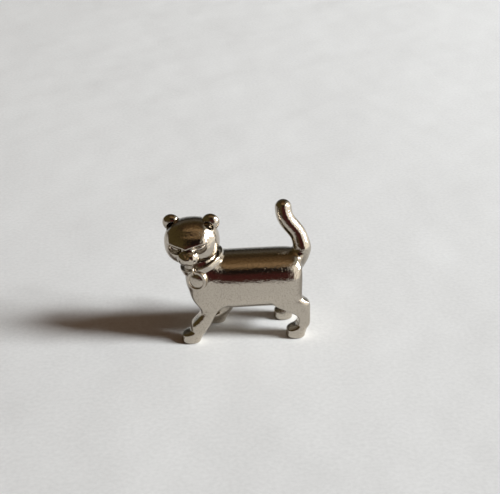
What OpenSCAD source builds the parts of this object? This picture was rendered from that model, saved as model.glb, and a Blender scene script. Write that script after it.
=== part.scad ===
// Cat game token, standing with its head turned to its left and its tail raised.
// Millimetres. The cat faces -X, its left side faces -Y, and the soles rest on z = 0.

/* [Torso] */
// Length of the barrel from chest to rump
torso_l = 20.2; // [19:0.2:22]
// Width across the barrel
torso_w = 9.6; // [8.8:0.2:10.6]
// Depth of the barrel from back to belly
torso_h = 10.2; // [9.6:0.2:11.4]
// Height of the belly above the table
belly_z = 5.3; // [5:0.1:6]
// Distance of the middle of the barrel behind the middle of the figure
torso_shift = 0.9; // [0.5:0.1:1.3]

/* [Head] */
// Width across the cheeks
head_w = 9.6; // [8.8:0.2:10.4]
// Height from chin to crown
head_h = 8.1; // [7.5:0.1:8.8]
// Depth from the face to the back of the skull
head_d = 8.2; // [7.6:0.1:9]
// Turn of the head towards the left flank, in degrees
head_turn = 73; // [60:1:88]
// Tilt of the crown to the right, in degrees
head_tilt = 6; // [0:1:10]

/* [Face] */
// Width of the muzzle
muzzle_w = 3.9; // [3.4:0.1:4.5]
// Height of the muzzle
muzzle_h = 2.6; // [2.2:0.1:3]
// Distance that the muzzle stands out from the face
muzzle_reach = 0.9; // [0.7:0.05:1.2]
// Width of the nose
nose_w = 1.3; // [1:0.05:1.6]
// Width of one eye
eye_w = 2.7; // [2.3:0.1:3.1]
// Height of one eye
eye_h = 1.45; // [1.2:0.05:1.7]
// Distance that the eye stands out from the face
eye_bulge = 0.25; // [0.2:0.05:0.35]
// Depth of the eye below the face
eye_sink = 0.45; // [0.35:0.05:0.6]
// Distance between the middles of the eyes
eye_pitch = 4.6; // [4.4:0.1:5]

/* [Ears] */
// Width of one ear
ear_w = 2.95; // [2.6:0.05:3.3]
// Thickness of one ear from front to back
ear_t = 2; // [1.8:0.1:2.3]
// Distance between the middles of the ears
ear_pitch = 7; // [6.6:0.1:7.4]
// Depth of the hollow in the ear
ear_cup = 0.55; // [0.4:0.05:0.7]

/* [Collar] */
// Width across the neck
neck_d = 7.1; // [6.6:0.1:7.6]
// Distance of the neck to the left of the spine
neck_shift = 0.5; // [0.2:0.1:0.8]
// Forward lean of the neck, in degrees
neck_lean = 24; // [20:1:28]
// Distance of the middle of the collar behind the chest
collar_set = 2.93; // [2.5:0.01:3.3]
// Depth of the middle of the collar below the back
collar_drop = 1.18; // [0.9:0.01:1.4]
// Distance of the middle of the collar below the chin
collar_gap = 0.2; // [0.1:0.05:0.4]
// Height of the collar band
collar_h = 1.1; // [0.9:0.05:1.4]
// Thickness of the collar band
collar_t = 0.5; // [0.4:0.05:0.7]

/* [Tag] */
// Width across the round tag
tag_d = 3.6; // [3.1:0.1:4]
// Place of the tag round the collar, from the front towards the left flank, in degrees
tag_place = 72; // [66:1:76]
// Turn of the face of the tag from the front towards the left flank, in degrees
tag_turn = 64; // [58:1:70]
// Downward lean of the face of the tag, in degrees
tag_lean = 6; // [0:1:10]
// Distance of the top of the tag below the middle of the collar
tag_drop = 0.15; // [0.05:0.05:0.3]
// Distance that the tag stands out from the collar
tag_proud = 0.35; // [0.25:0.05:0.5]
// Depth of the tag behind the outer side of the collar
tag_depth = 3; // [2.6:0.1:3.4]
// Width of the raised rim of the tag
tag_rim = 0.4; // [0.3:0.05:0.6]
// Height of the raised rim above the face of the tag
tag_rim_h = 0.2; // [0.1:0.05:0.3]
// Width across the link that holds the tag
link_d = 1.5; // [1.3:0.1:1.8]
// Thickness of the wire of the link
link_wire = 0.4; // [0.3:0.05:0.5]
// Distance of the middle of the link below the middle of the collar
link_drop = 0.25; // [0.15:0.05:0.35]

/* [Tail] */
// Thickness of the tail
tail_d = 2.95; // [2.6:0.05:3.3]
// Height of the tail tip above the back
tail_rise = 8.35; // [7.8:0.05:9]
// Distance of the bend of the tail behind the rump
bend_out = 0.25; // [0.1:0.05:0.5]
// Height of the bend of the tail above the back
bend_rise = 0.5; // [0.3:0.1:1]
// Distance that the tail sways forward from its bend to its tip
tail_sway = 3.1; // [2.6:0.05:3.6]
// Lean of the tail to the right above its bend, in degrees
tail_lean = 22; // [16:1:28]

/* [Legs] */
// Thickness of a leg from its outer to its inner side
leg_t = 3.1; // [2.7:0.1:3.5]
// Distance that the outer side of a leg stands out from the barrel
leg_proud = 0.15; // [0.05:0.05:0.35]
// Length of a paw
paw_l = 3.4; // [3:0.1:3.8]
// Height of a paw
paw_h = 2.1; // [1.8:0.1:2.4]
// Rounding of a paw above its sole
sole_round = 0.35; // [0.25:0.05:0.5]
// Length of the front leg section at the ankle
ankle_l = 2.85; // [2.5:0.05:3.2]
// Length of the front leg section at the elbow
elbow_l = 3.25; // [2.9:0.05:3.6]
// Length of the front leg section at the shoulder
shoulder_l = 6.2; // [5.6:0.1:6.8]
// Length of the rear leg section above the paw
shank_l = 2.2; // [2:0.05:2.5]
// Length of the rear leg section at the thigh
thigh_l = 6.6; // [6:0.1:7.2]
// Height of the ankle above the paw
ankle_rise = 0.9; // [0.7:0.05:1.1]
// Distance of the middle of the shoulder behind the chest
shoulder_set = 4.1; // [3.7:0.1:4.5]
// Distance of the middle of the thigh in front of the rump
thigh_set = 2.4; // [2:0.1:2.8]
// Distance of the front left toe in front of the chest
front_left_step = 1.1; // [0.7:0.1:1.5]
// Distance of the front right toe behind the chest
front_right_step = 3.8; // [3.4:0.1:4.4]
// Distance of the rear left toe in front of the rump
rear_left_step = 2.8; // [2.4:0.1:3.2]
// Distance of the rear right toe in front of the rump
rear_right_step = 4.2; // [3.6:0.1:4.6]
// Distance of the front left elbow behind its toe
front_left_bend = 5.15; // [4.7:0.05:5.5]
// Distance of the front right elbow behind its toe
front_right_bend = 3.1; // [2.7:0.05:3.5]

/* [Hidden] */
// Number of points around a torso or head section
body_sides = 40;
// Number of points around a limb section
limb_sides = 26;
// Number of points around a small face feature
feature_sides = 18;
// Number of sections between two rows of a limb
limb_steps = 3;
// Number of sections between two rows of the torso or head
body_steps = 3;
// Squareness of a body section: 2 is an ellipse, more is flatter on the sides
body_square = 2.2;
// Squareness of a leg section
leg_square = 3;
// Number of facets on the turned pieces
$fn = 64;

// Ends of the barrel and height of the back
rump_x = torso_l / 2 + torso_shift;
chest_x = rump_x - torso_l;
back_z = belly_z + torso_h;
// Middle of the collar, and middle of the head on the line of the neck
collar_at = [chest_x + collar_set, -neck_shift, back_z - collar_drop];
head_at = collar_at + (head_h / 2 + collar_gap) * [-sin(neck_lean), 0, cos(neck_lean)];
neck_r = neck_d / 2;
collar_r = neck_r + collar_t;
// Places of the tag and of its link on the outer side of the collar
tag_r = tag_d / 2;
tag_at = collar_at + [-collar_r * cos(tag_place), -collar_r * sin(tag_place), -tag_r - tag_drop];
link_at = collar_at + [-collar_r * cos(tag_turn), -collar_r * sin(tag_turn), -link_drop];
// Share of the half depth of the head at the eyes, under the step of the brow
eye_line = 0.97;
// Places of the face features from the middle of the head
face_x = 0.475 * head_d;
muzzle_z = -0.15 * head_h;
eye_z = 0.05 * head_h;
eye_depth = eye_line * head_d / 2 * sqrt(1 - pow(eye_pitch / head_w, 2)) - eye_sink;
// Slant of the eyes up to their outer corners and swing round the face, in degrees
eye_slant = 12;
eye_swing = 26;
// Places of the ears from the middle of the head, and their swing outwards in degrees
ear_z = 0.385 * head_h;
ear_back = 0.1 * head_d;
ear_swing = 14;
// Bend and tip of the tail
tail_r = tail_d / 2;
bend_x = rump_x + bend_out;
bend_z = back_z + bend_rise;
tip_z = back_z + tail_rise - tail_r;
// Outer and inner sides of the legs
leg_out = torso_w / 2 + leg_proud;
leg_in = leg_out - leg_t;
// Outer sides of the legs where they run into the barrel
shoulder_out = leg_out - 0.08 * leg_t;
leg_top_out = leg_out - 0.42 * leg_t;
// Heights of the leg sections
ankle_z = paw_h + ankle_rise;
elbow_z = belly_z + 0.05 * torso_h;
shoulder_z = belly_z + 0.35 * torso_h;
leg_top_z = belly_z + 0.53 * torso_h;
// Places of the shoulder and thigh along the barrel
shoulder_x = chest_x + shoulder_set;
thigh_x = rump_x - thigh_set;
// Toes along the barrel
front_left_toe = chest_x - front_left_step;
front_right_toe = chest_x + front_right_step;
rear_left_toe = rump_x - rear_left_step;
rear_right_toe = rump_x - rear_right_step;
// Colour of the bright metal
bright_metal = [0.74, 0.72, 0.68];

// Smooth curve through rows of numbers

function row_at(rows, i) = rows[max(0, min(len(rows) - 1, i))];

function between(a, b, c, d, t) =
  b + t * (c - a) / 2 + t * t * (a - 2.5 * b + 2 * c - d / 2)
  + t * t * t * (1.5 * (b - c) + (d - a) / 2);

function smooth_rows(rows, steps) = [
  for (i = [0 : len(rows) - 2])
    for (k = [0 : steps - 1])
      between(row_at(rows, i - 1), rows[i], rows[i + 1], row_at(rows, i + 2), k / steps),
  rows[len(rows) - 1]
];

// Place of a row, and direction of a difference

function place(row) = [row[0], row[1], row[2]];

function unit(row) = place(row) / norm(place(row));

// Rounded sections

function square_off(v, squareness) = sign(v) * pow(abs(v), 2 / squareness);

function section(sides, squareness) = [
  for (j = [0 : sides - 1])
    [square_off(cos(360 * j / sides), squareness), square_off(sin(360 * j / sides), squareness)]
];

function middle(ring) = [for (k = [0 : 2]) [for (p = ring) p[k]] * [for (p = ring) 1] / len(ring)];

// Solid skin over a stack of sections

module skin(rings) {
  n = len(rings[0]);
  m = len(rings);
  points = [for (ring = rings) each ring, middle(rings[0]), middle(rings[m - 1])];
  walls = [
    for (i = [0 : m - 2])
      for (j = [0 : n - 1])
        each [
          [i * n + j, (i + 1) * n + j, (i + 1) * n + (j + 1) % n],
          [i * n + j, (i + 1) * n + (j + 1) % n, i * n + (j + 1) % n]
        ]
  ];
  first = [for (j = [0 : n - 1]) [m * n, j, (j + 1) % n]];
  last = [for (j = [0 : n - 1]) [m * n + 1, (m - 1) * n + (j + 1) % n, (m - 1) * n + j]];
  polyhedron(points, concat(walls, first, last), convexity = 8);
}

// Rounded bead, a stack of round sections from pole to pole

module bead(size) {
  steps = feature_sides / 2;
  skin([
    for (i = [0.35, each [1 : steps - 1], steps - 0.35])
      [
        for (p = section(feature_sides, 2))
          [
            size[0] / 2 * sin(180 * i / steps) * p[0],
            size[1] / 2 * sin(180 * i / steps) * p[1],
            -size[2] / 2 * cos(180 * i / steps)
          ]
      ]
  ]);
}

// Torso, sections stacked from the chest to the rump

module torso_form() {
  // Share of the length, of the half width, and of the depth at belly and back
  rows = [
    [0, 0.2, 0.56, 0.76],
    [0.012, 0.42, 0.42, 0.88],
    [0.045, 0.62, 0.27, 0.95],
    [0.11, 0.8, 0.13, 0.985],
    [0.2, 0.91, 0.05, 1],
    [0.32, 0.98, 0.01, 1],
    [0.5, 1, 0, 1],
    [0.7, 1, 0.01, 1],
    [0.85, 0.97, 0.05, 1],
    [0.95, 0.86, 0.12, 0.97],
    [0.99, 0.62, 0.24, 0.88],
    [1, 0.36, 0.36, 0.76]
  ];
  skin([
    for (row = smooth_rows(rows, body_steps))
      [
        for (p = section(body_sides, body_square))
          [
            chest_x + row[0] * torso_l,
            p[0] * row[1] * torso_w / 2,
            belly_z + torso_h * ((row[2] + row[3]) / 2 + p[1] * (row[3] - row[2]) / 2)
          ]
      ]
  ]);
}

module torso() {
  color(bright_metal) torso_form();
}

// Head, sections stacked from the chin to the crown, with a step under the brow

module at_head() {
  translate(head_at) rotate([0, 0, head_turn]) rotate([-head_tilt, 0, 0]) children();
}

module head_form() {
  // Share of the height, of the half width, and of the half depth in front and behind
  rows = [
    [-0.5, 0.22, 0.34, 0.14],
    [-0.47, 0.42, 0.56, 0.36],
    [-0.4, 0.63, 0.75, 0.6],
    [-0.28, 0.84, 0.9, 0.82],
    [-0.12, 0.97, eye_line, 0.96],
    [0.02, 1, eye_line, 1],
    [0.12, 0.99, 1.03, 0.99],
    [0.24, 0.92, 0.97, 0.93],
    [0.37, 0.74, 0.77, 0.75],
    [0.46, 0.48, 0.5, 0.5],
    [0.5, 0.18, 0.18, 0.18]
  ];
  skin([
    for (row = smooth_rows(rows, body_steps))
      [
        for (p = section(body_sides, body_square))
          [
            -p[0] * head_d / 2 * (p[0] > 0 ? row[2] : row[3]),
            -p[1] * head_w / 2 * row[1],
            head_h * row[0]
          ]
      ]
  ]);
}

module head() {
  color(bright_metal)
    difference() {
      at_head() head_form();
      torso_form();
    }
}

// Neck, a round bar between the chest and the head

module at_neck() {
  translate(collar_at) rotate([0, -neck_lean, 0]) children();
}

module neck_form() {
  at_neck() translate([0, 0, -head_h / 4]) cylinder(r = neck_r, h = head_h / 2);
}

module neck() {
  color(bright_metal)
    difference() {
      neck_form();
      torso_form();
      at_head() head_form();
    }
}

// Muzzle, sections stacked from inside the face to the lips, with the nose on top

module muzzle_form() {
  // Share of the way out of the face, of the half width, and of the half height
  rows = [
    [-1.6, 0.96, 0.96],
    [-0.4, 1, 1],
    [0.3, 0.92, 0.92],
    [0.75, 0.68, 0.68],
    [1, 0.3, 0.3]
  ];
  translate([-face_x, 0, muzzle_z])
    skin([
      for (row = smooth_rows(rows, limb_steps))
        [
          for (p = section(feature_sides, body_square))
            [-muzzle_reach * row[0], -p[0] * row[1] * muzzle_w / 2, p[1] * row[2] * muzzle_h / 2]
        ]
    ]);
  translate([-face_x - muzzle_reach * 0.78, 0, muzzle_z + muzzle_h * 0.26])
    bead([nose_w, nose_w, nose_w * 0.75]);
}

module muzzle() {
  color(bright_metal)
    difference() {
      at_head() muzzle_form();
      at_head() head_form();
    }
}

// Eyes, almond beads set in the face

module eye(side) {
  color(bright_metal)
    difference() {
      at_head()
        translate([-eye_depth, side * eye_pitch / 2, eye_z])
          rotate([side * eye_slant, 0, side * eye_swing])
            bead([2 * (eye_bulge + eye_sink), eye_w, eye_h]);
      at_head() head_form();
      at_head() muzzle_form();
    }
}

module left_eye() {
  eye(-1);
}

module right_eye() {
  eye(1);
}

// Ears, round beads with a hollow in front

module ear(side) {
  color(bright_metal)
    difference() {
      at_head() at_ear(side) bead([ear_t, ear_w, ear_w]);
      at_head() at_ear(side) translate([-ear_t / 2 - ear_cup, 0, -ear_w * 0.1])
        bead([4 * ear_cup, ear_w * 0.62, ear_w * 0.56]);
      at_head() head_form();
    }
}

module at_ear(side) {
  translate([ear_back, side * ear_pitch / 2, ear_z]) rotate([0, 0, side * ear_swing]) children();
}

module left_ear() {
  ear(-1);
}

module right_ear() {
  ear(1);
}

// Collar, a turned band round the neck

module collar_form() {
  chamfer = collar_t * 0.4;
  at_neck()
    rotate_extrude()
      polygon([
        [neck_r, -collar_h / 2],
        [collar_r - chamfer, -collar_h / 2],
        [collar_r, chamfer - collar_h / 2],
        [collar_r, collar_h / 2 - chamfer],
        [collar_r - chamfer, collar_h / 2],
        [neck_r, collar_h / 2]
      ]);
}

module collar() {
  color(bright_metal)
    difference() {
      collar_form();
      torso_form();
      at_head() head_form();
    }
}

// Tag, a turned round plate with a raised rim, backed on to the chest

module at_tag() {
  translate(tag_at) rotate([0, 0, 180 + tag_turn]) rotate([0, 90 + tag_lean, 0]) children();
}

module tag_form() {
  at_tag()
    rotate_extrude()
      polygon([
        [0, -tag_depth],
        [tag_r, -tag_depth],
        [tag_r, tag_proud - tag_rim_h],
        [tag_r - tag_rim_h, tag_proud],
        [tag_r - tag_rim, tag_proud],
        [tag_r - tag_rim - tag_rim_h / 2, tag_proud - tag_rim_h],
        [0, tag_proud - tag_rim_h]
      ]);
}

module tag() {
  color(bright_metal)
    difference() {
      tag_form();
      torso_form();
      collar_form();
      neck_form();
      at_head() head_form();
      front_left_form();
    }
}

// Link, a wire ring from the collar to the tag

module tag_link() {
  color(bright_metal)
    difference() {
      translate(link_at) rotate([0, 0, tag_turn]) rotate([90, 0, 0])
        rotate_extrude() translate([(link_d - link_wire) / 2, 0]) circle(d = link_wire);
      collar_form();
      tag_form();
      torso_form();
      neck_form();
      at_head() head_form();
    }
}

// Tail, round sections swept along a raised curve

module tail_form() {
  rise = tip_z - bend_z;
  lean = tan(tail_lean);
  // Places of the spine along, across and above the barrel, and share of the half thickness
  rows = [
    [rump_x - 0.42 * tail_d, 0, back_z - 0.95 * tail_d, 1.02],
    [rump_x - 0.07 * tail_d, 0, back_z - 0.5 * tail_d, 1.07],
    [rump_x + 0.85 * bend_out, 0, back_z - 0.06 * tail_d, 1.07],
    [bend_x, 0, bend_z, 1.05],
    for (step = [[0.17, 0.28], [0.43, 0.455], [0.74, 0.625], [0.955, 0.81], [1, 1]])
      [bend_x - step[0] * tail_sway, lean * step[1] * rise, bend_z + step[1] * rise, 1]
  ];
  spine = smooth_rows(rows, body_steps);
  last = len(spine) - 1;
  up = unit(spine[last] - spine[last - 1]);
  tip = [for (a = [25, 50, 70, 83]) concat(place(spine[last]) + tail_r * sin(a) * up, cos(a))];
  path = concat(spine, tip);
  skin([
    for (i = [0 : len(path) - 1])
      let (
        ahead = unit(path[min(i + 1, last)] - path[max(min(i, last) - 1, 0)]),
        side = unit([ahead[2], 0, -ahead[0]]),
        across = cross(ahead, side),
        r = tail_r * path[i][3]
      )
      [for (p = section(limb_sides, 2)) place(path[i]) + r * (p[0] * side + p[1] * across)]
  ]);
}

module tail() {
  color(bright_metal)
    difference() {
      tail_form();
      torso_form();
    }
}

// Legs, sections stacked from the sole into the barrel: height, front, rear, outer and inner side

function paw_rows(toe) = [
  [0, toe + sole_round, toe + paw_l - sole_round, leg_out - sole_round, leg_in + sole_round],
  [0.2 * paw_h, toe + 0.01 * paw_l, toe + paw_l, leg_out, leg_in],
  [0.5 * paw_h, toe, toe + 1.03 * paw_l, leg_out, leg_in],
  [0.86 * paw_h, toe + 0.09 * paw_l, toe + 1.09 * paw_l, leg_out, leg_in]
];

function front_rows(toe, elbow) =
  let (ankle = toe + 1.3 * paw_l)
  concat(
    paw_rows(toe),
    [
      [1.12 * paw_h, toe + 0.42 * paw_l, toe + 1.18 * paw_l, leg_out, leg_in],
      [ankle_z, ankle - ankle_l, ankle, leg_out, leg_in],
      [elbow_z, elbow - elbow_l / 2, elbow + elbow_l / 2, leg_out, leg_in],
      [shoulder_z, shoulder_x - 0.5 * shoulder_l, shoulder_x + 0.5 * shoulder_l, shoulder_out, leg_in],
      [leg_top_z, shoulder_x - 0.3 * shoulder_l, shoulder_x + 0.3 * shoulder_l, leg_top_out, leg_in]
    ]
  );

function rear_rows(toe) =
  let (shank = toe + 0.91 * paw_l, hock = shank + shank_l / 2, knee = thigh_x - thigh_l / 2)
  concat(
    paw_rows(toe),
    [
      [1.12 * paw_h, toe + 0.4 * paw_l, hock - 0.07 * shank_l, leg_out, leg_in],
      [1.1 * ankle_z, shank - shank_l / 2, hock, leg_out, leg_in],
      [0.83 * belly_z, shank - 0.64 * shank_l, hock, leg_out, leg_in],
      [belly_z, (shank + knee) / 2, hock, leg_out, leg_in],
      [belly_z + 0.1 * torso_h, thigh_x - 0.38 * thigh_l, hock - 0.02 * shank_l, leg_out, leg_in],
      [belly_z + 0.16 * torso_h, thigh_x - 0.46 * thigh_l, hock - 0.12 * shank_l, leg_out, leg_in],
      [belly_z + 0.22 * torso_h, knee, thigh_x + 0.38 * thigh_l, leg_out, leg_in],
      [shoulder_z, thigh_x - 0.455 * thigh_l, thigh_x + 0.32 * thigh_l, shoulder_out, leg_in],
      [leg_top_z, thigh_x - 0.3 * thigh_l, thigh_x + 0.18 * thigh_l, leg_top_out, leg_in]
    ]
  );

module leg_form(rows, side) {
  skin([
    for (row = smooth_rows(rows, limb_steps))
      [
        for (p = section(limb_sides, leg_square))
          [
            (row[1] + row[2]) / 2 + p[0] * (row[2] - row[1]) / 2,
            side * (row[3] + row[4]) / 2 + p[1] * (row[3] - row[4]) / 2,
            row[0]
          ]
      ]
  ]);
}

module leg() {
  color(bright_metal)
    difference() {
      children();
      torso_form();
    }
}

module front_left_form() {
  leg_form(front_rows(front_left_toe, front_left_toe + front_left_bend), -1);
}

module front_left_leg() {
  leg() front_left_form();
}

module front_right_leg() {
  leg() leg_form(front_rows(front_right_toe, front_right_toe + front_right_bend), 1);
}

module rear_left_leg() {
  leg() leg_form(rear_rows(rear_left_toe), -1);
}

module rear_right_leg() {
  leg() leg_form(rear_rows(rear_right_toe), 1);
}

torso();
neck();
head();
muzzle();
left_eye();
right_eye();
left_ear();
right_ear();
collar();
tag_link();
tag();
tail();
front_left_leg();
front_right_leg();
rear_left_leg();
rear_right_leg();
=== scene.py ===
"""Cat game token: a small nickel-plated zinc casting that stands on a sheet of white paper.

The casting was poured in one shot, so its members run into each other without a seam. Each member is a
rounded form, the forms are melted into one skin, and the skin is then shared out among the members, so that
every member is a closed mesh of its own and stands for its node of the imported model.
"""

import logging
import math
from abc import ABC, abstractmethod
from collections.abc import Callable, Sequence
from dataclasses import dataclass, field
from enum import Enum

import bpy
import numpy as np
from mathutils import Matrix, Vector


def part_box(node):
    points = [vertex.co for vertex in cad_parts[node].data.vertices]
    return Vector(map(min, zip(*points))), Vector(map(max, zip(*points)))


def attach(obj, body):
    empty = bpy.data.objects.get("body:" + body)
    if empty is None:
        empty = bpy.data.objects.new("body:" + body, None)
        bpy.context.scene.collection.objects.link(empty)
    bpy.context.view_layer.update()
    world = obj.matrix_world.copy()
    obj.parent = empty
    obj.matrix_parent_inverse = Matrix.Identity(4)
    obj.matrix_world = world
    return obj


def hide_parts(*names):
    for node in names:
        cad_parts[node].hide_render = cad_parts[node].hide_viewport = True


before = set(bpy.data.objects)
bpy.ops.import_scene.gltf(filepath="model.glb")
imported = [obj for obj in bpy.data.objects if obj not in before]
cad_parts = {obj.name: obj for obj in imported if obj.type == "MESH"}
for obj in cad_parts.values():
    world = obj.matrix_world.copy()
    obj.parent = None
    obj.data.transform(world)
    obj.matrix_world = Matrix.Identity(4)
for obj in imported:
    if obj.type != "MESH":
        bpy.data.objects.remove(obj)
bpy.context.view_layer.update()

Array = np.ndarray
Row = tuple[float, ...]
Rule = Callable[[Array], Array]
Tree = bpy.types.NodeTree
Node = bpy.types.Node
Socket = bpy.types.NodeSocket
Finish = bpy.types.Material
LOG = logging.getLogger("token")

# Metres in a millimetre: the sculpting is done in millimetres
MM = 0.001
# Size of the picture in pixels
PICTURE = (500, 494)
# Body that every piece rides on
BODY = "root"
# Distance over which a slope is measured, and distance beyond which a form no longer matters
PROBE = 0.02
FAR = 2.0


class Side(Enum):
    """Side of the cat, as the sign of Y."""

    LEFT = -1
    RIGHT = 1


class Pair(Enum):
    """Pair of legs."""

    FRONT = "front"
    REAR = "rear"


def node_box(node: str) -> tuple[Array, Array]:
    """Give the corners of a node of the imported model.

    Args:
        node: Name of the node.

    Returns:
        Lowest and highest corner, in millimetres.
    """
    low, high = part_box(node)
    return np.array(low) / MM, np.array(high) / MM


def turn(axis: int, degrees: float) -> Array:
    """Give the matrix of a turn about one axis.

    Args:
        axis: Number of the axis, from 0 for X to 2 for Z.
        degrees: Angle of the turn.

    Returns:
        Matrix that turns a column of coordinates.
    """
    a, b = (axis + 1) % 3, (axis + 2) % 3
    matrix = np.eye(3)
    matrix[a, a] = matrix[b, b] = math.cos(math.radians(degrees))
    matrix[b, a] = math.sin(math.radians(degrees))
    matrix[a, b] = -matrix[b, a]
    return matrix


def melt(a: Array, b: Array, run: float) -> Array:
    """Join two forms with a fillet.

    Args:
        a: Distances to the first form.
        b: Distances to the second form.
        run: Length of the fillet, in millimetres.

    Returns:
        Distances to the joined form.
    """
    share = np.maximum(run - np.abs(a - b), 0) / run
    return np.minimum(a, b) - share * share * run / 4


def carve(a: Array, b: Array, run: float) -> Array:
    """Cut one form out of another and round the edge.

    Args:
        a: Distances to the form that is cut.
        b: Distances to the form that is taken out.
        run: Length of the rounding, in millimetres.

    Returns:
        Distances to what is left.
    """
    return -melt(-a, b, run)


@dataclass
class Profile:
    """Sizes that change smoothly along one direction.

    Attributes:
        rows: Stations, each with the sizes there.
        ease: Length over which bends are eased, in the unit of the stations.
        samples: Number of stations that the curve is drawn at.
    """

    rows: Sequence[Row]
    ease: float = 0.0
    samples: int = 500
    stations: Array = field(init=False)
    sizes: Array = field(init=False)

    def __post_init__(self) -> None:
        """Draw a smooth curve through the rows."""
        rows = np.array(self.rows, float)
        at, size = rows[:, 0], rows[:, 1:]
        slope = np.gradient(size, at, axis=0)
        self.stations = np.linspace(at[0], at[-1], self.samples)
        i = np.clip(np.searchsorted(at, self.stations, side="right") - 1, 0, len(at) - 2)
        run = (at[i + 1] - at[i])[:, None]
        u = (self.stations - at[i])[:, None] / run
        curve = size[i] * (1 + 2 * u) * (1 - u) ** 2 + size[i + 1] * u * u * (3 - 2 * u)
        curve += run * (slope[i] * u * (1 - u) ** 2 + slope[i + 1] * u * u * (u - 1))
        half = int(self.ease / (self.stations[1] - self.stations[0]) / 2)
        for _ in range(3 if half else 0):
            before = 2 * curve[:1] - curve[half:0:-1]
            after = 2 * curve[-1:] - curve[-2 : -half - 2 : -1]
            total = np.cumsum(np.vstack([0 * curve[:1], before, curve, after]), axis=0)
            curve = (total[2 * half + 1 :] - total[: -2 * half - 1]) / (2 * half + 1)
        self.sizes = curve

    def at(self, station: Array) -> list[Array]:
        """Give the sizes at many stations, one array for each size."""
        return [np.interp(station, self.stations, column) for column in self.sizes.T]


class Form(ABC):
    """Rounded solid, known by the distance of any point from its surface.

    Attributes:
        low: Lowest corner of the solid's box, in millimetres.
        high: Highest corner of the solid's box, in millimetres.
    """

    low: Array
    high: Array

    @abstractmethod
    def measure(self, p: Array) -> Array:
        """Give a number for each point that is below zero inside the solid."""

    def distance(self, p: Array) -> Array:
        """Give the distance of each point from the surface, below zero inside.

        Args:
            p: Points, in millimetres.

        Returns:
            Distances in millimetres, rough ones where they are large.
        """
        gap = np.linalg.norm(np.maximum(np.maximum(self.low - p, p - self.high), 0), axis=1)
        near = gap < FAR
        q = p[near]
        base = self.measure(q)
        slope = sum((self.measure(q + step) - base) ** 2 for step in PROBE * np.eye(3))
        gap[near] = base * PROBE / np.sqrt(np.maximum(slope, (0.2 * PROBE) ** 2))
        return gap


@dataclass
class Bead(Form):
    """Egg-shaped solid.

    Attributes:
        middle: Place of its middle, in millimetres.
        half: Its half sizes along its own axes, in millimetres.
        axes: Its axes, one in each column.
        square: Squareness of its sections: 2 is round, more is boxier.
    """

    middle: Array
    half: Array
    axes: Array = field(default_factory=lambda: np.eye(3))
    square: float = 2.0

    def __post_init__(self) -> None:
        """Find the box of the bead."""
        self.middle = np.asarray(self.middle, float)
        self.half = np.asarray(self.half, float)
        reach = np.abs(self.axes) @ self.half
        self.low, self.high = self.middle - reach, self.middle + reach

    def measure(self, p: Array) -> Array:
        """Give how far each point is outside the bead, as a share of its size."""
        share = np.abs((p - self.middle) @ self.axes) / self.half
        return (share**self.square).sum(axis=1) ** (1 / self.square) - 1


@dataclass
class Bar(Form):
    """Round bar between two points, with round ends.

    Attributes:
        start: First end of its middle line, in millimetres.
        end: Second end of its middle line, in millimetres.
        radii: Half thickness at the two ends, in millimetres.
    """

    start: Array
    end: Array
    radii: tuple[float, float]

    def __post_init__(self) -> None:
        """Find the box of the bar."""
        self.start, self.end = np.asarray(self.start, float), np.asarray(self.end, float)
        self.low = np.minimum(self.start, self.end) - max(self.radii)
        self.high = np.maximum(self.start, self.end) + max(self.radii)

    def measure(self, p: Array) -> Array:
        """Measure points from the bar.

        Args:
            p: Points, in millimetres.

        Returns:
            Distance of each point in millimetres, below zero inside.
        """
        along = self.end - self.start
        share = np.clip((p - self.start) @ along / (along @ along), 0, 1)
        radius = self.radii[0] + share * (self.radii[1] - self.radii[0])
        return np.linalg.norm(p - self.start - share[:, None] * along, axis=1) - radius


@dataclass
class Barrel(Form):
    """Trunk of the cat, rounded at the chest and blunt at the rump.

    Attributes:
        low: Lowest corner of its box, in millimetres.
        high: Highest corner of its box, in millimetres.
        taper: Share of the width, share of the depth and height of the middle, along the length.
        square: Squareness of the upper half of its sections.
        square_low: Squareness of the lower half of its sections.
        chest_power: Bluntness of the chest: 2 is round, more is flatter.
        rump_power: Bluntness of the rump.
    """

    low: Array
    high: Array
    taper: Profile
    square: float = 2.2
    square_low: float = 3.0
    chest_power: float = 4.5
    rump_power: float = 9.0

    def measure(self, p: Array) -> Array:
        """Measure points from the barrel.

        Args:
            p: Points, in millimetres.

        Returns:
            How far each point is outside, as a share of the size, below zero inside.
        """
        size = self.high - self.low
        share = (p - self.low) / size
        wide, deep, rise = self.taper.at(share[:, 0])
        across = np.abs(share[:, 1] - 0.5) * 2 / wide
        upward = (share[:, 2] - rise) * 2 / deep
        square = np.where(upward > 0, self.square, self.square_low)
        ring = (across**square + np.abs(upward) ** square) ** (1 / square)
        along = np.abs(share[:, 0] - 0.5) * 2
        power = np.where(share[:, 0] < 0.5, self.chest_power, self.rump_power)
        return (ring**power + along**power) ** (1 / power) - 1


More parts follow.
